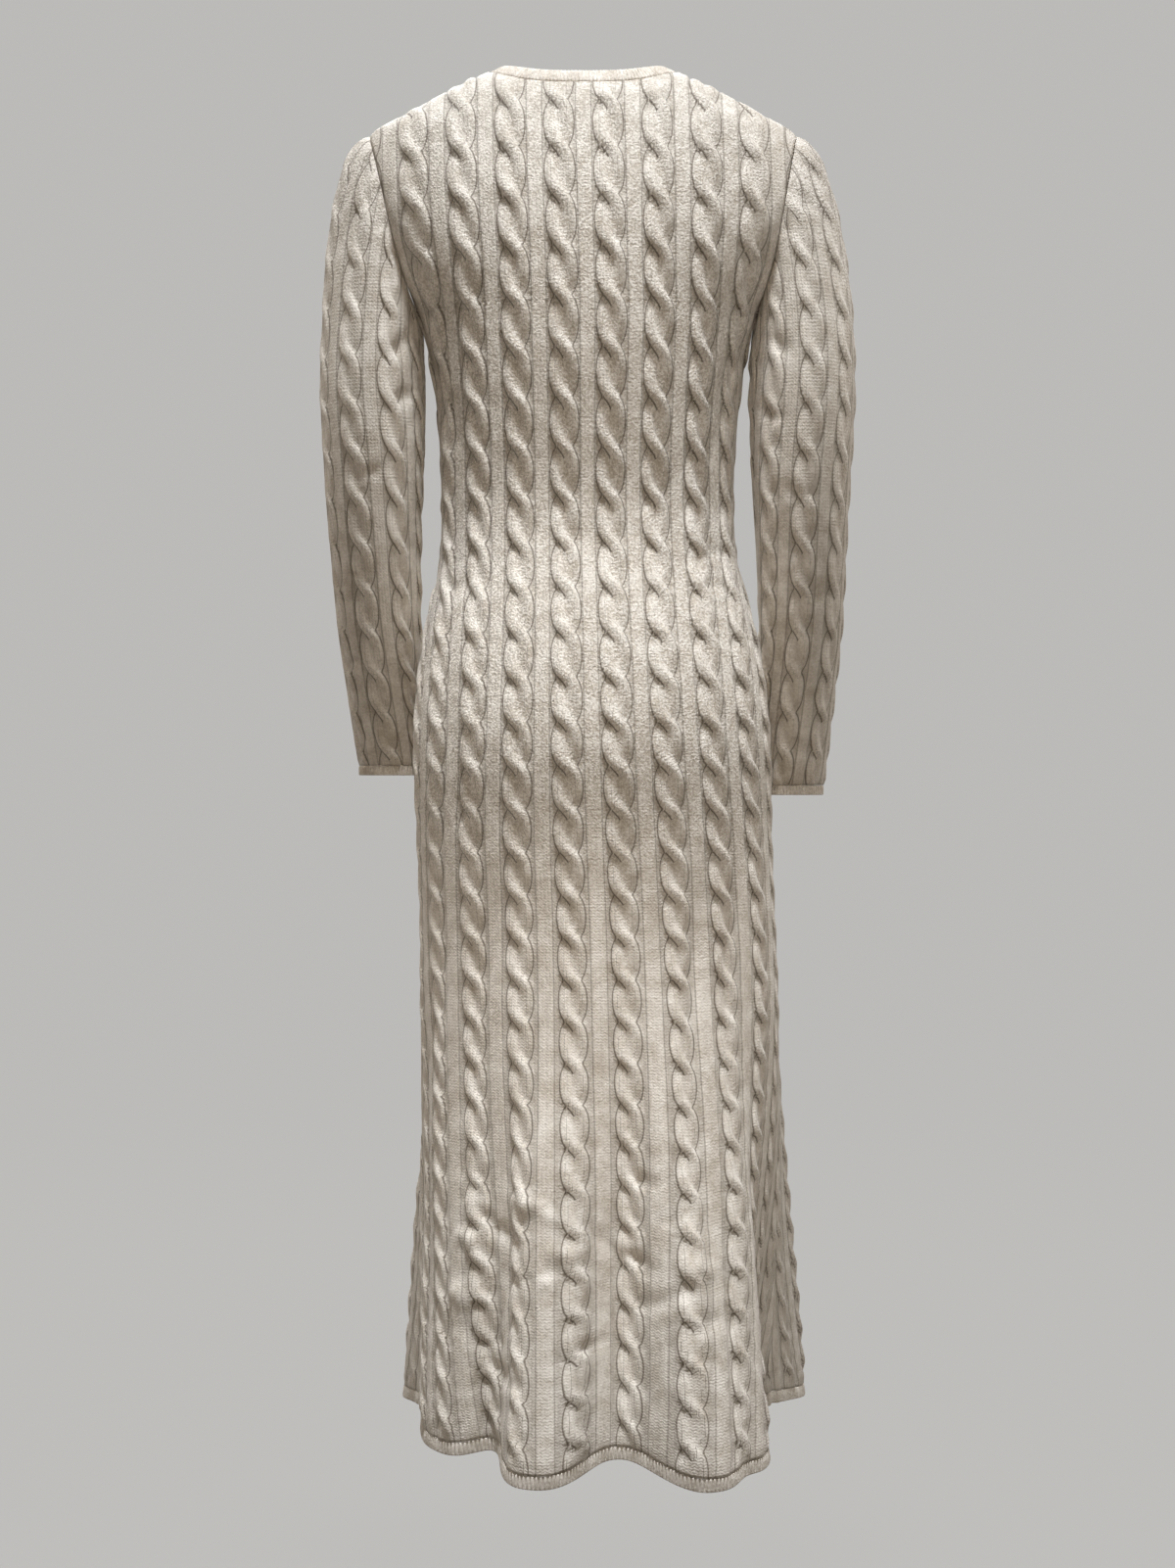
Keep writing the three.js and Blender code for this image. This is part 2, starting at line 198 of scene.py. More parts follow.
# %% [markdown]
# ## A panel's points
#
# A knitted panel is a sheet, so it is made from a flat grid. Each point of the grid has a column
# across the panel and a level down it, and these functions say where that point lies on the
# body. Below the arms a column keeps its share of the arc round the body. Above them it keeps
# its share of the width, because the wales of a real knit run straight up over the shoulder.

# %% Points of the back and front panels
HALF_COLUMNS = 12
NECK_COLUMNS = 6
STRAIGHT_COLUMNS_Z = -130
ARC_STEPS = 24
SHOULDER_REACH = float(read(ARMHOLE, "reach", SHOULDER_Z))


def along_arc(share, z, face, reach):
    """Distance from the centre line of the point that is a share of the way round to reach."""
    half, deep = read(BODY, "half", z), read(BODY, face, z)
    end = np.arcsin(np.clip(reach / half, 0, 1) ** (OVAL / 2))
    angles = end[..., None] * np.linspace(0, 1, ARC_STEPS + 1)
    xs = half[..., None] * np.sin(angles) ** (2 / OVAL)
    ys = deep[..., None] * np.cos(angles) ** (2 / OVAL)
    steps = np.hypot(np.diff(xs), np.diff(ys))
    lengths = np.concatenate([np.zeros_like(xs[..., :1]), np.cumsum(steps, -1)], -1)
    wanted = share * lengths[..., -1]
    i = np.clip((lengths < wanted[..., None]).sum(-1), 1, ARC_STEPS)[..., None]
    low, high = (np.take_along_axis(lengths, i - k, -1)[..., 0] for k in (1, 0))
    x0, x1 = (np.take_along_axis(xs, i - k, -1)[..., 0] for k in (1, 0))
    return mix(x0, x1, (wanted - low) / (high - low)), wanted


def top_edge(x, face):
    """Height of a panel's upper edge: the neckline, then the shoulder ridge."""
    neck = BACK_NECK if face == "back" else FRONT_NECK
    neckline = -neck["drop"] * (1 - np.clip(x / NECK_HALF, 0, 1) ** neck["round"])
    high, low = np.zeros_like(x), np.full_like(x, SHOULDER_Z)
    for _ in range(30):
        middle = (high + low) / 2
        narrow = read(BODY, "half", middle) < x
        high, low = np.where(narrow, middle, high), np.where(narrow, low, middle)
    return np.where(x < NECK_HALF, neckline, (high + low) / 2)


def shoulder_share(count):
    """A column's share of the width at the shoulder, closer together where the neck turns."""
    neck = NECK_HALF / SHOULDER_REACH
    inside = neck * np.sin(np.pi / 2 * np.minimum(count / NECK_COLUMNS, 1))
    outside = (count - NECK_COLUMNS) / (HALF_COLUMNS - NECK_COLUMNS)
    return np.where(count <= NECK_COLUMNS, inside, mix(neck, 1, outside))


def panel_points(column, level, face):
    """Points of a panel, and how far each lies from the centre line along the knit."""
    straight = smooth((level - UNDERARM_Z) / (STRAIGHT_COLUMNS_Z - UNDERARM_Z))
    count, side = np.abs(column), np.where(column < 0, -1.0, 1.0)
    share = mix(count / HALF_COLUMNS, shoulder_share(count), straight)
    above = level > UNDERARM_Z
    half = read(BODY, "half", level)
    edge = np.where(above, read(ARMHOLE, "reach", level), half)
    lift = smooth((level - UNDERARM_Z) / (SHOULDER_Z - UNDERARM_Z))
    z = level + lift * (top_edge(share * SHOULDER_REACH, face) - SHOULDER_Z)
    around, arc = along_arc(share, z, face, np.minimum(edge, read(BODY, "half", z)))
    x = mix(around, share * edge, straight)
    y = depth_at(x, z, face)
    reach = fold_reach(side * (share if face == "back" else 2 - share), z)
    push = reach / np.hypot(x, y)
    seam = np.where(above & (count == HALF_COLUMNS), SEAM_GAP, 0)
    out = y * (1 + push) + SEAM_GAP / 2
    lean = read(BODY, "lean", z)
    points = np.stack(
        [
            side * (x * (1 + push) - seam) + lean,
            out if face == "back" else -out,
            z - reach * FOLD_DROOP,
        ],
        -1,
    )
    return points, side * mix(arc, x, straight), lift


print("top of the shoulder", float(top_edge(np.array([150.0]), "back")[0]))

# %% [markdown]
# ## The knit's layout
#
# On a knitting machine the number of stitches across each cable stays the same all the way
# down, so the pattern has its own two counts: how many cable repeats lie between a point and the
# middle of the panel, and how many times the ropes have crossed above it. Both counts come from
# short tables in millimetres, because the yarn is stretched more in some places than in others.

# %% How wide a repeat is, and how far apart the crossings are
PANEL_KNIT = [
    dict(z=0, repeat=43, crossing=44, rope=13.4, relief=1.0),
    dict(z=-219, repeat=42, crossing=43.5, rope=13.4, relief=1.0),
    dict(z=-390, repeat=39.5, crossing=41.4, rope=12.6, relief=1.0),
    dict(z=-600, repeat=43, crossing=37.4, rope=13.6, relief=0.9),
    dict(z=-700, repeat=45, crossing=36.6, rope=12.8, relief=0.7),
    dict(z=-1060, repeat=47, crossing=32.3, rope=11.4, relief=0.75),
    dict(z=-1220, repeat=47, crossing=31, rope=10.8, relief=0.7),
]
SLEEVE_KNIT = [
    dict(z=0, repeat=37, crossing=44, rope=11.8, relief=0.55),
    dict(z=-300, repeat=37, crossing=42, rope=11.8, relief=0.5),
    dict(z=-500, repeat=33, crossing=37, rope=10.6, relief=0.5),
    dict(z=-660, repeat=31, crossing=33, rope=10, relief=0.5),
]
CROSSING_Z = -301  # here one crossing of the panels has its middle
SLEEVE_CROSSING_Z = -301


def crossings(table, z, middle):
    """How many crossings lie above height z. Each one's middle is at a half."""
    heights = np.arange(40.0, -1260.0, -1.0)
    count = np.cumsum(1 / read(table, "crossing", heights))
    start = np.interp(-middle, -heights, count)
    return np.interp(-z, -heights, count) - start + 40.5


print("crossings down the back", crossings(PANEL_KNIT, np.array([-21.0, -1186.0]), CROSSING_Z))

# %% [markdown]
# ## Relief of a cable and its ribs
#
# A cable is two ropes that take turns to cross in front, always from the upper left to the lower
# right. Seen from above, each rope's middle line swings like a cosine. Its height is that of a
# round yarn bundle, raised where it passes in front, and sunk and flattened where it dives
# behind, and the higher of the two is what shows. A lens of lower ground is left between them.
# Between cables stands a flat rib with soft raised edges. The function also says how far each
# point is from the creases where ropes and ribs end, which the colour darkens as painted shade.

# %% Heights of the ropes, the ribs and the creases beside them
ROPE_HEIGHT = 3.5
ROPE_DIVE = 2.2
ROPE_SWING = 0.55  # how far a rope swings from the cable's middle, in the cable's half widths
ROPE_BLEND = 2.4  # on its upper right a front rope runs into the one behind without a step
CROSSING_HASTE = 0.3  # 0 is an even swing, and more crosses in a shorter stretch
BEHIND_FLAT = 0.45  # the share of its height that a rope loses as it passes behind
LENS_HEIGHT = 1.3  # the ground between the two ropes of one cable
RIB_HEIGHT, RIB_LIP = 2.4, 0.5
RIB_ROOM, RIB_WIDEST = 0.86, 7.0  # the share of the room that a rib takes, and its limit
CHANNEL = -0.5
CREASE_KINDS = ("outline", "overlap", "rib_line")
NO_CREASE = 9.0  # a distance from a crease that is too far to matter


def rope(away, half_width):
    """Height of a rounded rope at a distance from its middle line."""
    return (1 - np.clip(away / half_width, 0, 1) ** 2.2) ** 0.75


def knit_relief(table, repeats, crossed, z):
    """The knit's height above its plain ground, and its distance from the creases, in mm."""
    repeat, half = read(table, "repeat", z), read(table, "rope", z)
    cell = np.floor(repeats)
    side = (repeats - cell - 0.5) * repeat
    turn = crossed - np.floor(crossed)
    swing = ROPE_SWING * half
    thick = half - swing
    hasty = smooth(smooth(turn))
    phase = np.pi * mix(turn, hasty, CROSSING_HASTE)
    speed = mix(1, 36 * turn * (1 - turn) * hasty_speed(turn), CROSSING_HASTE)
    middle = -swing * np.cos(phase)
    steep = np.pi * speed * swing * np.sin(phase) / read(table, "crossing", z)
    slant = 1 / np.sqrt(1 + steep**2)
    lift = ROPE_DIVE * np.sin(phase)
    from_front = np.abs(side - middle) * slant
    from_behind = np.abs(side + middle) * slant
    front = ROPE_HEIGHT * rope(from_front, thick) + lift
    flat = 1 - BEHIND_FLAT * np.sin(phase)
    behind = ROPE_HEIGHT * flat * rope(from_behind, thick) - lift
    apart = swing * np.abs(np.cos(phase)) - np.abs(side)
    lens = mix(CHANNEL, LENS_HEIGHT, smooth(0.5 + apart / 2))
    on_front, on_behind = from_front < thick, from_behind < thick
    front, behind = np.where(on_front, front, CHANNEL), np.where(on_behind, behind, CHANNEL)
    blend = np.where(side > middle, ROPE_BLEND, 0.3)
    ropes = soft_maximum(soft_maximum(front, behind, blend), lens, 1.0)
    outline = np.where(apart < 0, np.minimum(from_front, from_behind) - thick, NO_CREASE)
    under = on_behind & (side < middle)
    overlap = np.where(under, from_front - thick, NO_CREASE)
    rib_half = rib_half_width(repeat, half)
    across_rib = np.clip((repeat / 2 - np.abs(side)) / rib_half, 0, 1.6)
    rib_edge = RIB_LIP * np.exp(-(((across_rib - 0.78) / 0.16) ** 2))
    rib = (RIB_HEIGHT + rib_edge) * (1 - smooth((across_rib - 0.9) / 0.2)) + CHANNEL
    rib_line = repeat / 2 - np.abs(side) - rib_half
    relief = np.maximum(ropes, rib) * read(table, "relief", z)
    return relief, np.stack([outline, overlap, rib_line], -1)


def soft_maximum(a, b, blend):
    """The higher of two heights, with a fillet where they meet."""
    near = np.clip(1 - np.abs(a - b) / blend, 0, 1)
    return np.maximum(a, b) + near**2 * blend / 4


def hasty_speed(turn):
    """Rate of the soft step of a soft step, apart from its first factor."""
    once = smooth(turn)
    return once * (1 - once)


def rib_half_width(repeat, rope_half):
    """Half the width of the flat rib between two cables."""
    room = repeat / 2 - rope_half
    return np.minimum(room * RIB_ROOM, RIB_WIDEST)


print("rib half width at the waist", float(rib_half_width(39.5, 11.8)))

# %% [markdown]
# ## From a flat grid to a wall of cloth
#
# Each piece starts as a flat grid, whose points are then moved on to the form. The outside is a
# fine grid, because it carries the ropes. The inside is a coarse one, because that side of the
# knit is nearly flat. Bridging their borders closes the wall, with no extra points.

# %% Helpers for grids of points
def grid_mesh(name, across, down):
    """A flat grid as a mesh, with the row (from the top) and column of each of its points."""
    bm = bmesh.new()
    bmesh.ops.create_grid(bm, x_segments=across, y_segments=down, size=1)
    mesh = bpy.data.meshes.new(name)
    bm.to_mesh(mesh)
    bm.free()
    flat = np.empty(3 * len(mesh.vertices))
    mesh.vertices.foreach_get("co", flat)
    flat = flat.reshape(-1, 3)
    column = np.rint((flat[:, 0] + 1) / 2 * across).astype(int)
    row = np.rint((1 - flat[:, 1]) / 2 * down).astype(int)
    return mesh, row, column


def outward(points, closed=False):
    """Unit normals of a grid of points whose rows go down and whose columns go right."""
    if closed:
        points = np.concatenate([points[:, -2:-1], points, points[:, 1:2]], 1)
    right, down = np.gradient(points, axis=1), np.gradient(points, axis=0)
    normals = np.cross(down, right)
    normals /= np.maximum(np.linalg.norm(normals, axis=-1, keepdims=True), 1e-9)
    return normals[:, 1:-1] if closed else normals


def place_grid(name, points, stitches, values):
    """A grid mesh whose points lie at the given ones, with the knit's counts as its UV map."""
    down, across = points.shape[0] - 1, points.shape[1] - 1
    mesh, row, column = grid_mesh(name, across, down)
    mesh.vertices.foreach_set("co", (points[row, column] * MM).ravel())
    corners = np.empty(len(mesh.loops), int)
    mesh.loops.foreach_get("vertex_index", corners)
    layer = mesh.uv_layers.new(name="knit")
    layer.data.foreach_set("uv", stitches[row, column][corners].ravel())
    for key, value in values.items():
        attribute = mesh.attributes.new(key, "FLOAT", "POINT")
        attribute.data.foreach_set("value", value[row, column].ravel())
    return mesh


def plain_side(shape):
    """Values for a side without cables: no creases near, an even height, half the fibre noise and
    painted specks.
    """
    far, level, fuzz_and_painted_specks = (np.full(shape, value) for value in (NO_CREASE, 1.4, 0.5))
    return dict({kind: far for kind in CREASE_KINDS}, height=level, fuzz_and_painted_specks=fuzz_and_painted_specks)


def border(bm):
    return [edge for edge in bm.edges if edge.is_boundary]


def close_wall(name, outside, inside, tube=False):
    """One closed wall from its two meshes. A tube's side edges are joined first."""
    bm = bmesh.new()
    bm.from_mesh(inside)
    bmesh.ops.reverse_faces(bm, faces=bm.faces[:])
    bm.from_mesh(outside)
    if tube:
        rim = {vert for edge in border(bm) for vert in edge.verts}
        bmesh.ops.remove_doubles(bm, verts=list(rim), dist=0.01 * MM)
        edges = border(bm)
        middle = np.mean([vert.co.z for edge in edges for vert in edge.verts])
        for above in (True, False):
            ends = [edge for edge in edges if (edge.verts[0].co.z > middle) == above]
            bmesh.ops.bridge_loops(bm, edges=ends)
    else:
        bmesh.ops.bridge_loops(bm, edges=border(bm))
    mesh = bpy.data.meshes.new(name)
    bm.to_mesh(mesh)
    open_edges = len(border(bm))
    bm.free()
    for part in (outside, inside):
        bpy.data.meshes.remove(part)
    mesh.shade_smooth()
    piece = bpy.data.objects.new(name, mesh)
    bpy.context.collection.objects.link(piece)
    triangles = sum(len(face.vertices) - 2 for face in mesh.polygons)
    print(name, "triangles", triangles, "open edges", open_edges)
    return piece


# %% [markdown]
# ## Back and front
#
# Both panels are the same work on the two faces of the body. A row of the grid is one height on
# the panel's side edge. Near the armhole the rows crowd together at both ends, because the edge
# turns quickly there. Close to a seam the ropes flatten, as they do where knit is sewn.

# %% Rows and columns of a panel
PANEL_COLUMNS, PANEL_ROWS, ARMHOLE_SHARE = 192, 468, 84
COARSE = 4  # the inside has one point for so many outside
SEAM_FLAT = 6.0  # the knit flattens over so many millimetres beside a seam
ARMHOLE_FLAT = 40.0  # over more at the upper armhole
NECK_FLAT, SHOULDER_FLAT = 24.0, 80.0  # and where it hangs from the neck and the shoulder
BAND_RELIEF, BAND_FLAT = 0.3, 9.0  # the share of the relief left beside a rib band
SIDE_RELIEF, SIDE_ROOM = 0.5, 75.0  # the share left at the side seams, and how far that reaches
WALES, COURSES = 13, 14  # stitches across a repeat, and rows between two crossings
LEAST_FUZZ_AND_PAINTED_SPECKS = 0.3  # the least fibre noise and painted specks: on the low skirt and the sleeves
FOLD_TAKES = 0.3  # how much of a skirt fold's extra width the repeats take up


def panel_levels(coarse=1):
    """Heights of the side edge at the rows, from the shoulder point to the hem band."""
    arm = np.arange(0, ARMHOLE_SHARE + 1, coarse) / ARMHOLE_SHARE
    centre, reach = (SHOULDER_Z + UNDERARM_Z) / 2, (SHOULDER_Z - UNDERARM_Z) / 2
    rest = np.arange(coarse, PANEL_ROWS - ARMHOLE_SHARE + 1, coarse)
    rest = rest / (PANEL_ROWS - ARMHOLE_SHARE)
    return np.concatenate(
        [centre + reach * np.cos(np.pi * arm), mix(UNDERARM_Z, HEM_Z + HEM_BAND, rest)]
    )


def edge_distance(points):
    """How far each point of a grid lies from its sides, its top and its lower edge."""
    across = np.linalg.norm(np.diff(points, axis=1), axis=-1)
    down = np.linalg.norm(np.diff(points, axis=0), axis=-1)
    from_left = np.pad(np.cumsum(across, 1), ((0, 0), (1, 0)))
    from_top = np.pad(np.cumsum(down, 0), ((1, 0), (0, 0)))
    sides = np.minimum(from_left, from_left[:, -1:] - from_left)
    return sides, from_top, from_top[-1:] - from_top


def panel_form(face, coarse=1):
    turn = -1 if face == "back" else 1
    columns = turn * np.linspace(-HALF_COLUMNS, HALF_COLUMNS, PANEL_COLUMNS // coarse + 1)
    level, column = np.meshgrid(panel_levels(coarse), columns, indexing="ij")
    points, plain, lift = panel_points(column, level, face)
    return points, level, lift, turn * plain


def panel_counts(points, level, lift, plain, face):
    """Repeats and crossings at each point of a panel."""
    turn = -1 if face == "back" else 1
    centre = points.shape[1] // 2
    across = np.hypot(np.diff(points[..., 0], axis=1), np.diff(points[..., 1], axis=1))
    arc = np.pad(np.cumsum(across, 1), ((0, 0), (1, 0)))
    arc = arc - arc[:, centre : centre + 1]
    straight = smooth((level - UNDERARM_Z) / (STRAIGHT_COLUMNS_Z - UNDERARM_Z))
    lean = read(BODY, "lean", level)
    x = turn * (points[..., 0] - lean)
    z = np.where(lift > 0, points[..., 2], level)
    along = mix(plain, mix(arc, x, straight), FOLD_TAKES)
    repeats = along / read(PANEL_KNIT, "repeat", z)
    return repeats, crossings(PANEL_KNIT, z, CROSSING_Z), z


def cut_size(name, points):
    """Prints a form's width at its lower edge, its longest column and its area, in metres."""
    across, down = np.diff(points, axis=1)[:-1], np.diff(points, axis=0)[:, :-1]
    area = np.linalg.norm(np.cross(across, down), axis=-1).sum() * MM**2
    low = np.linalg.norm(np.diff(points[-1], axis=0), axis=-1).sum() * MM
    widest = np.linalg.norm(across, axis=-1).sum(1).max() * MM
    long = np.linalg.norm(down, axis=-1).sum(0).max() * MM
    print(name, "low edge", round(low, 3), "widest", round(widest, 3), end=" ")
    print("long", round(long, 3), "area", round(area, 4))


def make_panel(face):
    points, level, lift, plain = panel_form(face)
    cut_size(face, points)
    repeats, crossed, z = panel_counts(points, level, lift, plain, face)
    sides, top, low = edge_distance(points)
    points = creased(points, PANEL_CREASES[face], points[..., 0], EDGE_CALM)
    on_shoulder = smooth((np.abs(points[..., 0]) - NECK_HALF) / 70)
    hung = smooth(top / mix(NECK_FLAT, SHOULDER_FLAT, on_shoulder))
    seam = mix(smooth(top / SEAM_FLAT), hung, 0.9)
    seam = seam * smooth(sides / mix(SEAM_FLAT, ARMHOLE_FLAT, smooth((z + 150) / 90)))
    seam = seam * mix(BAND_RELIEF, 1, smooth(low / BAND_FLAT))
    seam = seam * mix(SIDE_RELIEF, 1, smooth(sides / SIDE_ROOM))
    relief, lines = knit_relief(PANEL_KNIT, repeats, crossed, z)
    height = relief * seam
    fine = points + outward(points) * height[..., None]
    stitches = np.stack([repeats * WALES, -crossed * COURSES], -1)
    # Fibre bump and painted specks of highlight and shade: strongest on the upper back and the hips,
    # half as strong at the sides, where less light falls
    fuzz_and_painted_specks = mix(LEAST_FUZZ_AND_PAINTED_SPECKS, 1, smooth((z + 760) / 160)) * mix(0.5, 1, smooth(sides / 80))
    lines = dict(zip(CREASE_KINDS, np.moveaxis(lines, -1, 0)))
    # The relief before it flattens near seams also goes on the mesh, for the painted shade in the
    # hollows
    outside = place_grid(face, fine, stitches, dict(lines, height=relief, fuzz_and_painted_specks=fuzz_and_painted_specks))
    coarse = panel_form(face, COARSE)[0]
    coarse = creased(coarse, PANEL_CREASES[face], coarse[..., 0], EDGE_CALM)
    inside = place_grid(
        face + "_inside",
        coarse - outward(coarse) * CLOTH,
        stitches[::COARSE, ::COARSE],
        plain_side(coarse.shape[:2]),
    )
    return close_wall(face + "_knit", outside, inside)


# %% Creases of the panels
# Each row goes from (x, z) to (to_x, to_z), in millimetres, x to the wearer's left. "wide" is
# its half width and "deep" how far it sinks into the cloth, or stands up where negative.
EDGE_CALM = 22.0  # creases fade out over so many millimetres towards a seam


def creased(points, creases, across, calm, closed=False):
    """Points moved by soft troughs and ridges, which fade at their ends and near seams."""
    z = points[..., 2]
    sunk = np.zeros_like(z)
    for x0, z0, x1, z1, wide, deep in creases:
        run = np.array([x1 - x0, z1 - z0], float)
        length = np.hypot(*run)
        t = ((across - x0) * run[0] + (z - z0) * run[1]) / length**2
        off = ((across - x0) * run[1] - (z - z0) * run[0]) / length
        bow = off + 0.06 * length * (1 - (2 * t - 1) ** 2)  # no real crease is straight
        fade = smooth(1.25 - np.abs(2 * t - 1))
        sunk = sunk + deep * fade * np.exp(-((bow / wide) ** 2))
    sides, top, low = edge_distance(points)
    near = np.minimum(top, low) if closed else np.minimum(np.minimum(top, low), sides)
    return points - outward(points, closed) * (sunk * smooth(near / calm))[..., None]


PANEL_CREASES = {
    "back": [
        (150, -232, 112, -318, 9, 3.2),
        (-148, -238, -114, -318, 8, 3.4),
        (138, -262, 100, -352, 7, 1.8),
        (-140, -280, -104, -366, 6, 1.6),
        (128, -466, 84, -452, 8, 2.4),
        (-122, -430, -82, -450, 7, 2.2),
        (-126, -462, -92, -470, 6, 1.6),
        (60, -412, -52, -420, 12, 1.6),
        (112, -560, 92, -700, 9, 2.0),
        (-104, -700, -117, -1080, 10, 5.0),
        (-131, -700, -140, -1000, 7, 3.2),
        (72, -700, 80, -1010, 13, 4.0),
        (118, -760, 126, -1120, 9, 3.4),
        (-36, -950, -42, -1150, 15, 3.6),
        (33, -900, 35, -1090, 13, -2.6),
        (-74, -860, -80, -1120, 12, -2.6),
        (8, -820, 4, -960, 9, 1.8),
        (99, -996, 50, -1022, 7, 2.6),
        (68, -1048, 18, -1036, 7, 2.4),
        (2, -1004, -64, -1044, 8, 2.8),
        (-36, -1072, -96, -1046, 7, 2.2),
        (108, -948, 84, -990, 7, 2.4),
        (48, -982, 20, -1004, 6, -1.8),
        (-20, -1098, 30, -1112, 6, 1.8),
        (112, -1090, 70, -1108, 7, 2.0),
        (-60, -1004, -88, -990, 6, 1.8),
        (64, -980, 40, -992, 8, -3.4),
        (34, -1020, 6, -1030, 8, -3.6),
        (54, -1036, 28, -1050, 7, -3.0),
        (-78, -1030, -108, -1044, 8, -3.6),
        (-16, -1014, -42, -1026, 7, -2.8),
        (118, -1060, 94, -1076, 8, -3.2),
        (110, -1014, 92, -1026, 7, -3.0),
        (-84, -1086, -112, -1076, 7, 2.6),
        (-34, -962, -62, -974, 7, 2.4),
        (84, -1120, 48, -1132, 7, 2.4),
    ],
    "front": [
        (148, -236, 96, -300, 9, 3.2),
        (-146, -240, -98, -296, 9, 3.0),
        (140, -270, 92, -352, 7, 2.0),
        (-136, -284, -96, -360, 7, 1.8),
        (118, -420, 60, -404, 9, 2.2),
        (-120, -440, -70, -418, 8, 2.0),
        (40, -396, -46, -408, 12, 1.6),
        (124, -486, 86, -470, 7, 1.6),
        (96, -620, 108, -1060, 10, 4.4),
        (-82, -640, -96, -1090, 11, 4.6),
        (30, -720, 40, -1080, 13, 3.6),
        (-34, -800, -30, -1120, 12, -2.6),
        (132, -760, 140, -1040, 8, 3.0),
        (-134, -720, -142, -1060, 8, 3.2),
        (70, -900, 74, -1140, 12, -2.8),
        (86, -1004, 40, -1030, 7, 2.2),
        (-16, -1020, -66, -1046, 8, 2.4),
        (-50, -1088, -100, -1070, 7, 2.0),
        (20, -1096, 62, -1084, 6, 1.8),
    ],
}
print("creases", {face: len(rows) for face, rows in PANEL_CREASES.items()})

# %% Make the back and the front
back, front = make_panel("back"), make_panel("front")

# %% [markdown]
# ## Sleeves
#
# A set-in sleeve is one panel closed along an underarm seam. Its grid is wrapped round the arm
# and its two side edges are joined. At the top the cloth rounds out of the armhole into the cap,
# where the ropes lean towards the shoulder and the seam gathers the cloth in short puckers.

# %% The arm's form
ARM = [
    dict(z=-60, x=190, y=0, across=47, deep=53),
    dict(z=-215, x=191, y=2, across=46.5, deep=53),
    dict(z=-286, x=191.5, y=4, across=47, deep=51),
    dict(z=-356, x=191.5, y=3, across=43.5, deep=46),
    dict(z=-427, x=191.5, y=-5, across=39.5, deep=42),
    dict(z=-498, x=190.5, y=-19, across=36.5, deep=38.5),
    dict(z=-551, x=188, y=-33, across=33.5, deep=35.5),
    dict(z=-604, x=185.5, y=-46, across=30, deep=32.5),
    dict(z=-650, x=183, y=-56, across=27, deep=29.5),
]
CAP_ROUND, CUFF_BAND = 200, 9
SLEEVES = [
    dict(side="left", sign=1, cuff=-628, shift=-0.08),
    dict(side="right", sign=-1, cuff=-646, shift=0.4),
]
SLEEVE_COLUMNS, SLEEVE_ROWS = 152, 240
CAP_LEAN, CAP_LEAN_END = 47, -300  # ropes lean to the shoulder by so much, above this height
CAP_FLAT = 26.0  # the knit flattens over so many millimetres below the armhole seam
ROW_START = 0.1  # rows lie close together over this share of the sleeve's start
CAP_CALM = 5.0  # creases fade out over so many millimetres towards the seam
ARM_ROUND = 48  # millimetres round the arm for each radian, about


def sleeve_points(angle, down, sleeve):
    """Points of a sleeve, by the angle round the arm and the share of its length."""
    start_z = (SHOULDER_Z + UNDERARM_Z) / 2 + (SHOULDER_Z - UNDERARM_Z) / 2 * np.cos(angle)
    start_x = read(ARMHOLE, "reach", start_z)
    start_back, start_front = (depth_at(start_x, start_z, face) for face in ("back", "front"))
    start_y = np.where(np.sin(angle) >= 0, start_back, -start_front)
    z = mix(start_z, sleeve["cuff"] + CUFF_BAND, down)
    out = np.clip((start_z - z) / CAP_ROUND, 0, 1)
    rounding = np.sqrt(1 - (1 - out) ** 2)
    arm_x = read(ARM, "x", z) + read(ARM, "across", z) * np.cos(angle)
    arm_y = read(ARM, "y", z) + read(ARM, "deep", z) * np.sin(angle)
    x = mix(start_x + SEAM_GAP, arm_x, rounding)
    y = mix(start_y, arm_y, rounding)
    return np.stack([sleeve["sign"] * x + read(BODY, "lean", z), y, z], -1)


def sleeve_form(sleeve, coarse=1):
    t = np.linspace(0, 1, SLEEVE_ROWS // coarse + 1)
    downs = (np.hypot(t, ROW_START) - ROW_START) / (np.hypot(1, ROW_START) - ROW_START)
    angles = sleeve["sign"] * np.linspace(-np.pi, np.pi, SLEEVE_COLUMNS // coarse + 1)
    down, angle = np.meshgrid(downs, angles, indexing="ij")
    return sleeve_points(angle, down, sleeve), angle


def sleeve_counts(points, angle, sleeve):
    """Repeats and crossings at each point of a sleeve."""
    z = points[..., 2]
    capped = smooth((z - CAP_LEAN_END) / (SHOULDER_Z - CAP_LEAN_END))
    middle = read(ARM, "x", z) - CAP_LEAN * capped
    x = sleeve["sign"] * (points[..., 0] - read(BODY, "lean", z)) - middle
    y = points[..., 1] - read(ARM, "y", z)
    turned = np.arctan2(y, x)
    turned = np.where(np.abs(turned - angle) > np.pi, angle, turned)
    radius = (read(ARM, "across", z) + read(ARM, "deep", z)) / 2 + 0.6 * CAP_LEAN * capped
    across = sleeve["sign"] * turned * radius / read(SLEEVE_KNIT, "repeat", z)
    return across + sleeve["shift"], crossings(SLEEVE_KNIT, z, SLEEVE_CROSSING_Z), z


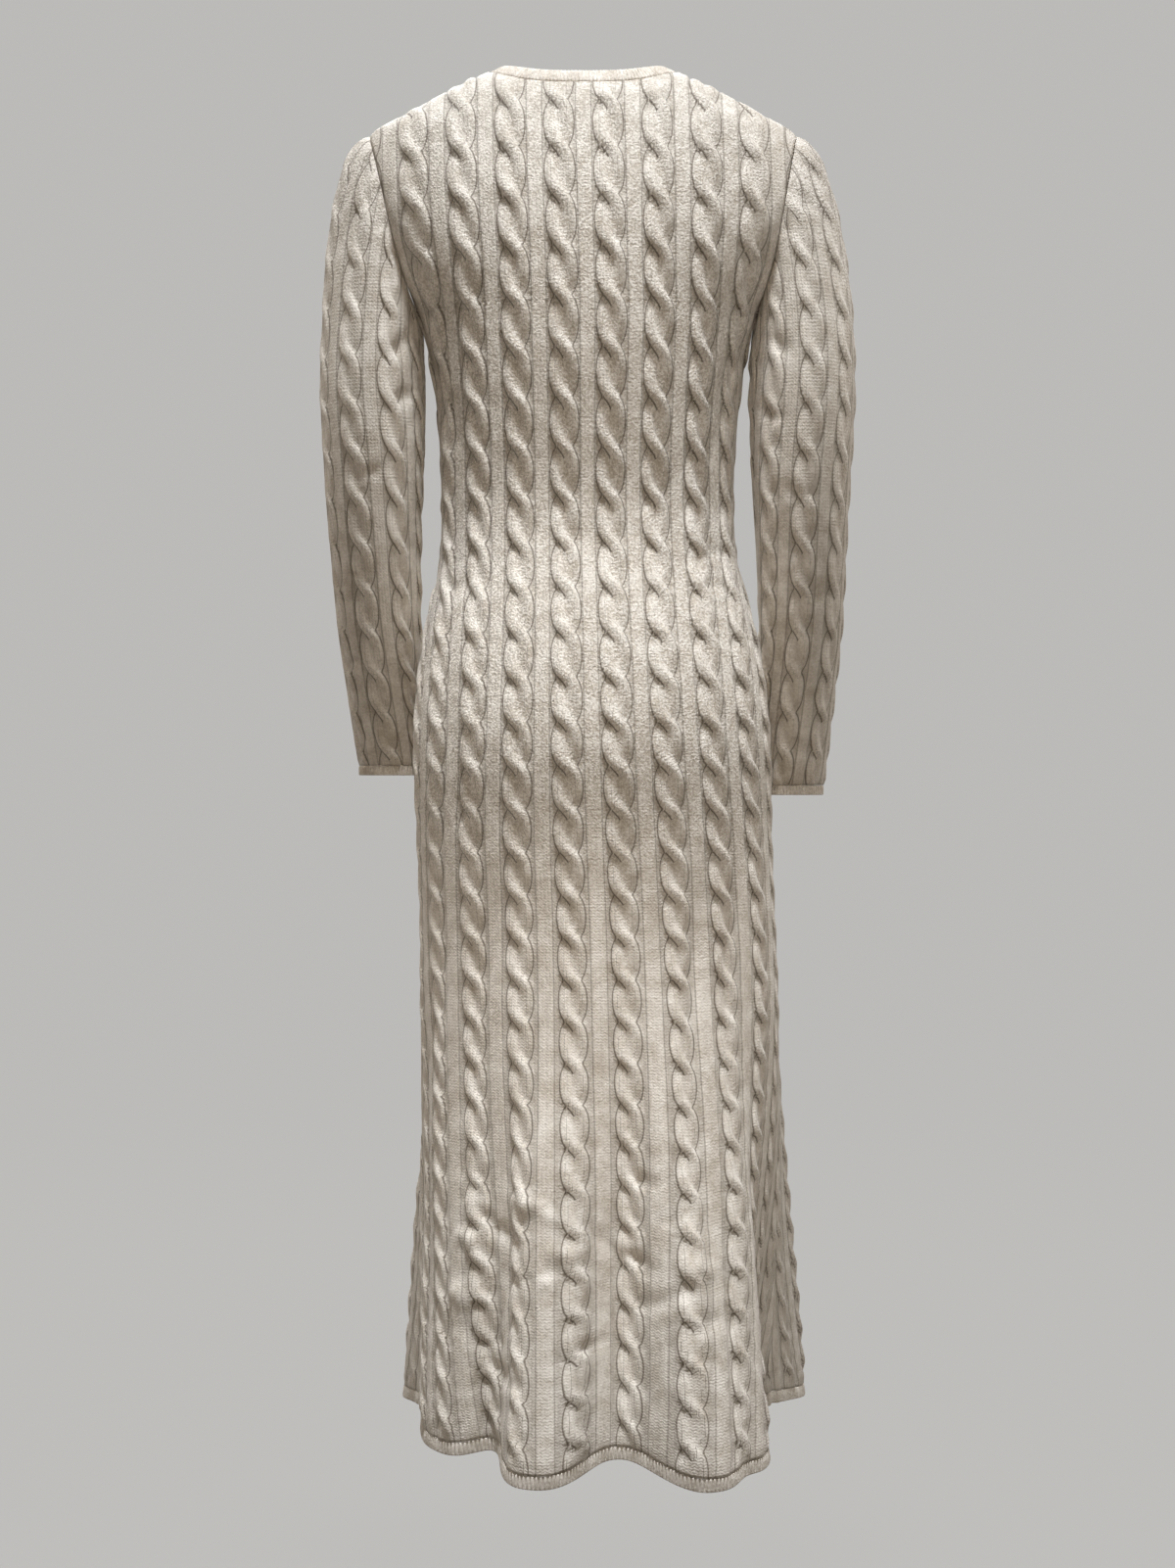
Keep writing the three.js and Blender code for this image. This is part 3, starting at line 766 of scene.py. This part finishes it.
# Creases of the sleeves, as on the panels. Here "across" is the way round the arm from its outer
# side towards its back, in millimetres. The first rows are the cap's gathers.
SLEEVE_CREASES = {
    "left": [
        (40, -84, 26, -112, 4, 1.6),
        (62, -104, 48, -136, 4, 1.9),
        (84, -128, 66, -152, 4, 1.7),
        (100, -152, 84, -176, 4, 1.5),
        (-40, -86, -28, -116, 4, 1.6),
        (-66, -110, -50, -140, 4, 1.8),
        (-88, -140, -70, -160, 4, 1.5),
        (120, -232, 84, -262, 8, 2.6),
        (126, -284, 96, -300, 7, 1.8),
        (90, -356, 52, -366, 6, 1.8),
        (-118, -396, -70, -410, 8, 3.4),
        (-120, -430, -74, -426, 7, 3.2),
        (-104, -462, -60, -448, 7, 2.4),
        (84, -440, 40, -452, 7, 1.6),
        (60, -520, 20, -530, 6, 1.8),
        (92, -556, 50, -572, 6, 2.0),
        (-40, -560, -84, -552, 6, 1.8),
        (30, -594, 74, -600, 5, 1.6),
    ],
    "right": [
        (38, -82, 24, -108, 4, 1.5),
        (60, -106, 44, -134, 4, 1.9),
        (86, -132, 70, -158, 4, 1.6),
        (104, -158, 90, -180, 4, 1.4),
        (-42, -88, -30, -114, 4, 1.6),
        (-70, -114, -52, -142, 4, 1.8),
        (118, -238, 80, -258, 8, 2.4),
        (124, -296, 92, -318, 7, 2.0),
        (100, -372, 60, -384, 6, 1.6),
        (-116, -404, -68, -416, 8, 3.2),
        (-118, -440, -72, -436, 7, 3.0),
        (-100, -476, -58, -462, 7, 2.2),
        (70, -470, 30, -462, 7, 1.6),
        (84, -548, 42, -560, 6, 2.0),
        (-36, -584, -80, -572, 6, 1.8),
        (34, -614, 76, -606, 5, 1.6),
    ],
}


def make_sleeve(sleeve):
    name = "sleeve_" + sleeve["side"]
    points, angle = sleeve_form(sleeve)
    cut_size(name, points)
    repeats, crossed, z = sleeve_counts(points, angle, sleeve)
    sides, top, low = edge_distance(points)
    creases = SLEEVE_CREASES[sleeve["side"]]
    points = creased(points, creases, angle * ARM_ROUND, CAP_CALM, closed=True)
    seam = smooth(sides / SEAM_FLAT) * smooth(top / CAP_FLAT)
    seam = seam * mix(BAND_RELIEF, 1, smooth(low / SEAM_FLAT))
    relief, lines = knit_relief(SLEEVE_KNIT, repeats, crossed, z)
    height = relief * seam
    fine = points + outward(points, closed=True) * height[..., None]
    stitches = np.stack([repeats * WALES, -crossed * COURSES], -1)
    # Fibre bump and painted specks of highlight and shade: strongest at the top of the sleeve
    fuzz_and_painted_specks = mix(LEAST_FUZZ_AND_PAINTED_SPECKS, 0.9, smooth((z + 200) / 100))
    lines = dict(zip(CREASE_KINDS, np.moveaxis(lines, -1, 0)))
    # The relief also goes on the mesh, for the painted shade in the hollows
    outside = place_grid(name, fine, stitches, dict(lines, height=relief, fuzz_and_painted_specks=fuzz_and_painted_specks))
    coarse, angle = sleeve_form(sleeve, COARSE)
    coarse = creased(coarse, creases, angle * ARM_ROUND, CAP_CALM, closed=True)
    inside = place_grid(
        name + "_inside",
        coarse - outward(coarse, closed=True) * CLOTH,
        stitches[::COARSE, ::COARSE],
        plain_side(coarse.shape[:2]),
    )
    return close_wall(name + "_knit", outside, inside, tube=True)


sleeves = {sleeve["side"]: make_sleeve(sleeve) for sleeve in SLEEVES}

# %% [markdown]
# ## Bands
#
# The neckband, the hem band and the cuffs are narrow strips of rib, knitted on to an edge. Each
# is a ring with a rounded section that goes on from that edge. Its ribs are real ridges, a few
# millimetres apart, because they show against the light along the hem.

# %% Rings with a ribbed, rounded section
NECKBAND = 12
SECTION_POINTS = 16
SECTION_CORNER = 0.3  # a power: 1 is an ellipse, and less is squarer
POINTS_PER_RIB = 6


def along_ring(path, values, count):
    """Values given along a closed path, at evenly spaced places on it."""
    closed = np.concatenate([path, path[:1]])
    lengths = np.concatenate([[0], np.cumsum(np.linalg.norm(np.diff(closed, axis=0), axis=1))])
    values = np.concatenate([values, values[:1]])
    wanted = np.linspace(0, lengths[-1], count + 1)
    return np.stack([np.interp(wanted, lengths, values[:, k]) for k in range(3)], -1)


def ring_length(path):
    return np.linalg.norm(np.diff(np.concatenate([path, path[:1]]), axis=0), axis=1).sum()


def make_band(name, path, out, away, tall, pitch, rib, roll):
    """A ribbed ring on an edge: "out" points off the cloth and "away" from the piece."""
    ribs = int(round(ring_length(path) / pitch))
    print(name, "round", round(ring_length(path) * MM, 3), "tall", tall * MM)
    count = ribs * POINTS_PER_RIB
    outer = along_ring(path, path, count)
    out, away = along_ring(path, out, count), along_ring(path, away, count)
    middle = outer - out * CLOTH / 2 + away * (tall + SEAM_GAP) / 2
    half_tall = (tall - SEAM_GAP) / 2 * np.sign(away[:, 2:3])
    turn = np.linspace(np.pi, -np.pi, SECTION_POINTS + 1)[:, None, None]
    across, upright = np.cos(turn), np.sin(turn)
    wave = np.cos(2 * np.pi * ribs * np.linspace(0, 1, count + 1))[None, :, None]
    swell = np.clip(across, 0, 1) * (roll + rib * wave)
    across = np.sign(across) * np.abs(across) ** SECTION_CORNER * CLOTH / 2 + swell
    upright = np.sign(upright) * np.abs(upright) ** SECTION_CORNER
    points = middle + out * across + away * half_tall * upright
    around = np.broadcast_to(np.linspace(0, 1, count + 1) * ribs * 2, points.shape[:2])
    down = np.broadcast_to(np.linspace(0, 1, SECTION_POINTS + 1)[:, None], points.shape[:2])
    stitches = np.stack([around, down * -2 * tall / 2.8], -1)
    # The colour paints shade in the grooves between the ribs from this height
    height = np.broadcast_to(1.4 + swell[..., 0], points.shape[:2])
    values = dict(plain_side(points.shape[:2]), height=height)
    mesh = place_grid(name, points, stitches, values)
    bm = bmesh.new()
    bm.from_mesh(mesh)
    rim = {vert for edge in border(bm) for vert in edge.verts}
    bmesh.ops.remove_doubles(bm, verts=list(rim), dist=0.01 * MM)
    print(name, "ribs", ribs, "open edges", len(border(bm)), "faces", len(bm.faces))
    bm.to_mesh(mesh)
    bm.free()
    mesh.shade_smooth()
    piece = bpy.data.objects.new(name + "_rib", mesh)
    bpy.context.collection.objects.link(piece)
    return piece


def panel_edge(levels, half_columns, count):
    """The first of three rows of both panels as a ring, and the normals there."""
    rows, normals = [], []
    for face, turn in (("back", -1), ("front", 1)):
        columns = turn * np.linspace(-half_columns, half_columns, count)
        level, column = np.meshgrid(levels, columns, indexing="ij")
        points = panel_points(column, level, face)[0]
        rows.append(points[0, :-1])
        normals.append(outward(points)[0, :-1])
    return np.concatenate(rows), np.concatenate(normals)


# %% Neckband, hem band and cuffs
neck_path, neck_out = panel_edge([SHOULDER_Z, SHOULDER_Z - 3, SHOULDER_Z - 6], NECK_COLUMNS, 90)
neck_x = neck_path[:, 0] - read(BODY, "lean", neck_path[:, 2])
neck_share = np.clip(np.abs(neck_x) / NECK_HALF, 0, 1)[:, None] ** 2
slope = np.stack([-0.92 * np.sign(neck_x), 0 * neck_x, 0.38 + 0 * neck_x], -1)
upright = np.stack([0 * neck_x, -0.35 * np.sign(neck_path[:, 1]), 0.94 + 0 * neck_x], -1)
neck_away = mix(upright, slope, neck_share)
neck_away /= np.linalg.norm(neck_away, axis=1, keepdims=True)
neck_out = neck_out - neck_away * (neck_out * neck_away).sum(1, keepdims=True)
neck_out /= np.linalg.norm(neck_out, axis=1, keepdims=True)
neckband = make_band("neckband", neck_path, neck_out, neck_away, NECKBAND, 3.2, 0.5, 0.4)

BAND_TOP = HEM_Z + HEM_BAND
HEM_FLARE = 0.14  # how far the band leans out for its height, as the skirt does above it
hem_path, hem_out = panel_edge([BAND_TOP, BAND_TOP - 3, BAND_TOP - 6], HALF_COLUMNS, 300)
hem_out[:, 2] = 0
hem_out /= np.linalg.norm(hem_out, axis=1, keepdims=True)
flared = (HEM_FLARE * hem_out - [0, 0, 1]) / np.hypot(HEM_FLARE, 1)
hem_out = (hem_out + [0, 0, HEM_FLARE]) / np.hypot(HEM_FLARE, 1)
hem_band = make_band("hem_band", hem_path, hem_out, flared, HEM_BAND, 3.6, 0.8, 0.1)

cuffs = {}
for sleeve in SLEEVES:
    form = sleeve_form(sleeve)[0][-3:]
    cuff_out = outward(form, closed=True)[-1, :-1]
    cuff_out[:, 2] = 0
    cuff_out /= np.linalg.norm(cuff_out, axis=1, keepdims=True)
    downwards = np.tile([0.0, 0.0, -1.0], (len(cuff_out), 1))
    cuffs[sleeve["side"]] = make_band(
        "cuff_" + sleeve["side"], form[-1, :-1], cuff_out, downwards, CUFF_BAND, 3, 0.5, 0.3
    )

# %% [markdown]
# ## Wool
#
# The yarn is a soft blend of wool and cotton. A noise of about 2 mm stands for its short fibres,
# which are far finer. It roughens the surface, and it paints pale and dark specks of highlight
# and shade on the colour, on top of the yarn's own uneven tone. Both are strongest on the upper
# back and the hips. The low skirt and the sleeves are smoother, with fewer painted specks, and
# shine a little on their creases. The stitches come from the UV map, which counts wales across
# and courses down, so they follow the ropes' layout. Real stitches of this gauge are about 2 mm
# wide. They are drawn about 3 mm wide here, so that they still show when the whole dress is in
# view. Attributes on the mesh say where the creases and hollows lie, which the colour darkens as
# painted shade.

# %% Materials


def srgb(text):
    """A colour written as six hex digits, as the linear values that a shader takes."""
    parts = [int(text[i : i + 2], 16) / 255 for i in (1, 3, 5)]
    linear = [c / 12.92 if c <= 0.04045 else ((c + 0.055) / 1.055) ** 2.4 for c in parts]
    return (*linear, 1.0)


def add(tree, kind, settings=(), links=()):
    """Adds a node: settings are its properties or socket values, and links feed its sockets."""
    node = tree.nodes.new(kind)
    for key, value in dict(settings).items():
        if isinstance(key, str) and hasattr(node, key):
            setattr(node, key, value)
        else:
            node.inputs[key].default_value = value
    for key, source in dict(links).items():
        tree.links.new(source, node.inputs[key])
    return node


LOOP_HEIGHT, WALE_DEPTH = 0.07, 0.7  # of a stitch, and of the groove between two wales
FIBRE_HEIGHT = 2.8  # of the brushed fibres, in the same shares of the stitch depth
FIBRES_PER_METRE, PATCHES_PER_METRE = 480.0, 60.0
PATCH_SHARE = 0.5  # how much of the colour's unevenness comes from the larger patches
HOLLOW_SHADE = 0.35  # how much darker the colour paints the low ground between the ropes, as painted shade
CREASE_SHADES, CREASE_WIDTH = (0.95, 1.0, 0.6), 1.1  # the darkness of the painted shade along each kind of crease, and its width in mm
# The colour that the painted shade of creases and hollows multiplies the wool by
PAINTED_SHADE_TINT = "#6d6252"


def wool(name, light, dark, stitch_depth):
    material = bpy.data.materials.new(name)
    material.use_nodes = True
    tree = material.node_tree
    shader = tree.nodes["Principled BSDF"]
    place = add(tree, "ShaderNodeTexCoord")
    stitches = add(tree, "ShaderNodeUVMap", {"uv_map": "knit"})
    parts = add(tree, "ShaderNodeSeparateXYZ", {}, {0: stitches.outputs["UV"]})
    wale = add(tree, "ShaderNodeMath", {"operation": "FRACT"}, {0: parts.outputs["X"]})
    side = add(tree, "ShaderNodeMath", {"operation": "SUBTRACT", 1: 0.5}, {0: wale.outputs[0]})
    leg = add(tree, "ShaderNodeMath", {"operation": "ABSOLUTE"}, {0: side.outputs[0]})
    tilted = add(
        tree,
        "ShaderNodeMath",
        {"operation": "SUBTRACT"},
        {0: parts.outputs["Y"], 1: leg.outputs[0]},
    )
    turned = add(
        tree, "ShaderNodeMath", {"operation": "MULTIPLY", 1: 2 * np.pi}, {0: tilted.outputs[0]}
    )
    loop = add(tree, "ShaderNodeMath", {"operation": "COSINE"}, {0: turned.outputs[0]})
    groove = add(
        tree, "ShaderNodeMath", {"operation": "POWER", 1: 2.0}, {0: leg.outputs[0]}
    )
    deep = add(
        tree, "ShaderNodeMath", {"operation": "MULTIPLY", 1: -WALE_DEPTH}, {0: groove.outputs[0]}
    )
    stitch = add(
        tree,
        "ShaderNodeMath",
        {"operation": "MULTIPLY_ADD", 1: LOOP_HEIGHT},
        {0: loop.outputs[0], 2: deep.outputs[0]},
    )
    fibres = add(
        tree,
        "ShaderNodeTexNoise",
        {"Scale": FIBRES_PER_METRE, "Detail": 3.0, "Roughness": 0.65},
        {"Vector": place.outputs["Object"]},
    )
    # How strong the fibre noise is, both as bump and as painted specks of highlight and shade
    fuzz_and_painted_specks = add(tree, "ShaderNodeAttribute", {"attribute_name": "fuzz_and_painted_specks"})
    uneven = add(
        tree, "ShaderNodeMath", {"operation": "SUBTRACT", 1: 0.5}, {0: fibres.outputs["Fac"]}
    )
    fuzz = add(
        tree,
        "ShaderNodeMath",
        {"operation": "MULTIPLY_ADD", 2: 0.5},
        {0: uneven.outputs[0], 1: fuzz_and_painted_specks.outputs["Fac"]},
    )
    patches = add(
        tree,
        "ShaderNodeTexNoise",
        {"Scale": PATCHES_PER_METRE, "Detail": 3.0, "Roughness": 0.55},
        {"Vector": place.outputs["Object"]},
    )
    height = add(
        tree,
        "ShaderNodeMath",
        {"operation": "MULTIPLY_ADD", 1: FIBRE_HEIGHT},
        {0: fuzz.outputs[0], 2: stitch.outputs[0]},
    )
    bump = add(
        tree,
        "ShaderNodeBump",
        {"Strength": 0.8, "Distance": stitch_depth * MM},
        {"Height": height.outputs[0]},
    )
    # The colour: random patches of the yarn's own tone, with the fibre noise on top as painted specks
    # of highlight and shade
    speckle = add(
        tree,
        "ShaderNodeMath",
        {"operation": "MULTIPLY_ADD", 1: PATCH_SHARE},
        {0: patches.outputs["Fac"], 2: fuzz.outputs[0]},
    )
    colour = add(tree, "ShaderNodeValToRGB", {}, {"Fac": speckle.outputs[0]})
    ramp = colour.color_ramp
    ramp.elements[0].position, ramp.elements[0].color = 0.64, srgb(dark)
    ramp.elements[1].position, ramp.elements[1].color = 0.87, srgb(light)
    # Painted shade on the low ground between ropes and ribs, from the relief height on the mesh
    relief = add(tree, "ShaderNodeAttribute", {"attribute_name": "height"})
    painted_hollow_shade = add(
        tree,
        "ShaderNodeMapRange",
        {"From Min": -0.6, "From Max": 1.4, "To Min": HOLLOW_SHADE, "To Max": 0.0},
        {"Value": relief.outputs["Fac"]},
    )
    # Thin lines of painted shade along the creases, added to the painted shade of the hollows
    lines = painted_hollow_shade
    for key, shade in zip(CREASE_KINDS, CREASE_SHADES):
        away = add(tree, "ShaderNodeAttribute", {"attribute_name": key})
        far = add(
            tree, "ShaderNodeMath", {"operation": "ABSOLUTE"}, {0: away.outputs["Fac"]}
        )
        line = add(
            tree,
            "ShaderNodeMapRange",
            {"From Min": 0.0, "From Max": CREASE_WIDTH, "To Min": shade, "To Max": 0.0},
            {"Value": far.outputs[0]},
        )
        lines = add(
            tree,
            "ShaderNodeMath",
            {"operation": "MAXIMUM"},
            {0: lines.outputs[0], 1: line.outputs[0]},
        )
    shaded = add(
        tree,
        "ShaderNodeMix",
        {"data_type": "RGBA", "blend_type": "MULTIPLY"},
        {0: lines.outputs[0], 6: colour.outputs["Color"]},
    )
    shaded.inputs[7].default_value = srgb(PAINTED_SHADE_TINT)
    tree.links.new(shaded.outputs[2], shader.inputs["Base Color"])
    tree.links.new(bump.outputs["Normal"], shader.inputs["Normal"])
    shader.inputs["Roughness"].default_value = 0.6
    shader.inputs["IOR"].default_value = 1.5
    shader.inputs["Specular IOR Level"].default_value = 0.4
    shader.inputs["Sheen Weight"].default_value = 0.25
    shader.inputs["Sheen Roughness"].default_value = 0.5
    return material


# The ramp runs between these two: partly the yarn's own uneven tone, partly painted highlight and
# shade on its fibres
OATMEAL_LIGHT, OATMEAL_DARK = "#f6f0e6", "#c8beaf"
cable_wool = wool("wool_cable_knit_painted_light", OATMEAL_LIGHT, OATMEAL_DARK, 1.15)
rib_wool = wool("wool_rib_painted_light", OATMEAL_LIGHT, OATMEAL_DARK, 0.6)
for piece in (back, front, *sleeves.values()):
    piece.data.materials.append(cable_wool)
for piece in (neckband, hem_band, *cuffs.values()):
    piece.data.materials.append(rib_wool)
print("materials", cable_wool.name, rib_wool.name)

# %% [markdown]
# ## Floor, backdrop and light
#
# The dress hangs in the air over a plain pale floor that bends up into a plain pale backdrop all
# round, so no line shows where they meet. It is one profile, spun into a wide bowl. The main
# light is small, strong and nearly overhead, which draws every rope by its shade. A narrow warm
# strip evens out the back, and weaker lights do the same for the sides and the front.

# %% Floor and backdrop
FLOOR_Z = -1420 * MM
FLOOR_RADIUS, BEND_RADIUS, WALL_TOP = 3.5, 2.5, 7.0
BEND_STEPS, ROUND_STEPS = 16, 64

bm = bmesh.new()
turns = np.linspace(0, np.pi / 2, BEND_STEPS)
profile = [(0, 0)]
profile += [
    (FLOOR_RADIUS + BEND_RADIUS * np.sin(turn), BEND_RADIUS * (1 - np.cos(turn))) for turn in turns
]
profile += [(FLOOR_RADIUS + BEND_RADIUS, WALL_TOP)]
verts = [bm.verts.new((x, 0, FLOOR_Z + z)) for x, z in profile]
edges = [bm.edges.new(pair) for pair in zip(verts, verts[1:])]
bmesh.ops.spin(
    bm,
    geom=verts + edges,
    cent=(0, 0, 0),
    axis=(0, 0, 1),
    angle=2 * np.pi,
    steps=ROUND_STEPS,
    use_merge=True,
)
bmesh.ops.remove_doubles(bm, verts=bm.verts[:], dist=0.001)
bmesh.ops.recalc_face_normals(bm, faces=bm.faces[:])
bmesh.ops.reverse_faces(bm, faces=bm.faces[:])
stage_mesh = bpy.data.meshes.new("stage")
bm.to_mesh(stage_mesh)
bm.free()
stage_mesh.shade_smooth()
stage = bpy.data.objects.new("stage", stage_mesh)
bpy.context.collection.objects.link(stage)
paper = bpy.data.materials.new("matt_grey_paper")
paper.use_nodes = True
paper_shader = paper.node_tree.nodes["Principled BSDF"]
paper_shader.inputs["Base Color"].default_value = srgb("#262625")
paper_shader.inputs["Roughness"].default_value = 0.95
paper_shader.inputs["Specular IOR Level"].default_value = 0.0
paper_shader.inputs["Emission Color"].default_value = srgb("#bbbab8")
paper_shader.inputs["Emission Strength"].default_value = 1.0
stage_mesh.materials.append(paper)
stage.visible_diffuse = False  # its own glow is not to light the dress from below
print("stage faces", len(stage_mesh.polygons))

# %% Lights
world = bpy.data.worlds.new("studio")
bpy.context.scene.world = world
world.use_nodes = True
world.node_tree.nodes["Background"].inputs["Color"].default_value = srgb("#ffeedc")
world.node_tree.nodes["Background"].inputs["Strength"].default_value = 0.13
bpy.context.scene.view_settings.view_transform = "Standard"


def area_light(name, place, turn, size, power, colour=(1, 1, 1), spread=np.pi):
    data = bpy.data.lights.new(name, "AREA")
    data.shape, data.size, data.energy, data.color = "SQUARE", size, power, colour
    data.spread = spread
    light = bpy.data.objects.new(name, data)
    light.location, light.rotation_euler = place, turn
    bpy.context.collection.objects.link(light)
    return data


COOL, WARM, WARMER = (0.95, 0.98, 1.03), (1.0, 0.91, 0.8), (1.0, 0.88, 0.74)
area_light("overhead", (0, 0.75, 2.4), (-0.175, 0, 0), 0.5, 5.0, COOL, spread=0.6)
area_light("right", (-1.2, 1.4, 1.4), (-0.6, -0.6, 0), 0.8, 10)
strip = area_light("strip", (0, 2.0, -0.4), (-1.5, 0, 0), 0.12, 0.33, WARMER, spread=0.4)
strip.shape, strip.size_y = "RECTANGLE", 1.1
area_light("front", (0.3, -2.2, 1.2), (0.85, 0, 0.13), 0.9, 70)
area_light("left", (2.4, -0.7, 0.2), (1.3, 0, 1.3), 0.9, 14, WARM)
area_light("far_side", (-2.4, -0.7, 0.2), (1.3, 0, -1.3), 0.9, 14, WARM)
print("lights", [light.name for light in bpy.data.lights])

# %% [markdown]
# ## What each piece is
#
# Every piece hangs on the one body of the dress and stands for the plain form of the same name.
# Each is also a sheet of cloth, so its flat size is stated: the width and length of the piece
# that it was knitted as, and its area where that isn't a rectangle.

# %% Bodies, nodes, finishes and cut sizes
PIECES = [
    dict(piece=back, node="back", slot="cable_knit", flat=(0.72, 1.25), area=0.53),
    dict(piece=front, node="front", slot="cable_knit", flat=(0.72, 1.25), area=0.53),
    dict(piece=sleeves["left"], node="sleeve_left", slot="cable_knit", flat=(0.33, 0.58), area=0.132),
    dict(piece=sleeves["right"], node="sleeve_right", slot="cable_knit", flat=(0.33, 0.6), area=0.135),
    dict(piece=cuffs["left"], node="cuff_left", slot="rib_knit", flat=(0.19, 0.01)),
    dict(piece=cuffs["right"], node="cuff_right", slot="rib_knit", flat=(0.18, 0.01)),
    dict(piece=neckband, node="neckband", slot="rib_knit", flat=(0.57, 0.012)),
    dict(piece=hem_band, node="hem_band", slot="rib_knit", flat=(1.43, 0.011)),
]
for row in PIECES:
    piece = row["piece"]
    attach(piece, "root")
    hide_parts(row["node"])
print("pieces", [row["piece"].name for row in PIECES])
